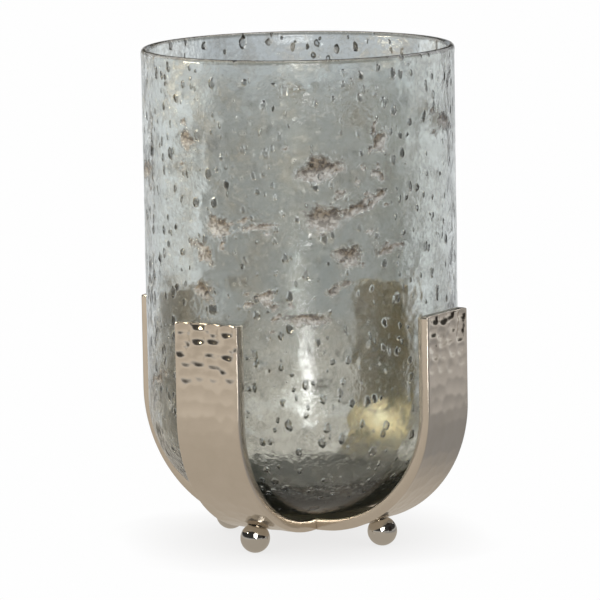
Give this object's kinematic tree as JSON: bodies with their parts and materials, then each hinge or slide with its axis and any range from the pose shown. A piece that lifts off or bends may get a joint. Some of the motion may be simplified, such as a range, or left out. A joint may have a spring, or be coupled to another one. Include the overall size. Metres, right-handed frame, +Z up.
{
  "type": "hurricane candle holder",
  "caption": "Open seeded-glass hurricane cylinder with a rounded thick base, standing in a crossed hammered-metal strap cradle on ball feet; the glass lifts out.",
  "frame": {"origin": "on the ground, under the crossing of the two straps, which is the centre of the overall box's underside", "axes": "+Z up along the glass cylinder's axis; +X along the left-to-right strap towards its right arm; -Y towards the front arm"},
  "size_m": [0.167, 0.167, 0.242],
  "materials": {
    "seeded_glass": "blown, clear with a grey tint, seeded with bubbles and part silvered",
    "hammered_nickel": "hammered and polished, nickel plated",
    "polished_nickel": "polished, nickel plated",
    "screw_steel": "zinc-free bright steel",
    "pad_rubber": "matte translucent grey"
  },
  "bodies": {
    "cradle": {"strap_left_right": "hammered_nickel", "strap_front_back": "hammered_nickel", "crossing_rivet": "polished_nickel", "glass_pad": "pad_rubber", "foot_right": "polished_nickel", "foot_back": "polished_nickel", "foot_left": "polished_nickel", "foot_front": "polished_nickel", "foot_screw_right": "screw_steel", "foot_screw_back": "screw_steel", "foot_screw_left": "screw_steel", "foot_screw_front": "screw_steel"},
    "glass": {"glass_vessel": "seeded_glass"}
  },
  "joints": [
    {"name": "glass_lift", "type": "slide", "parent": "cradle", "child": "glass", "axis": [0, 0, 1], "range_m": [0, 0.12]}
  ]
}
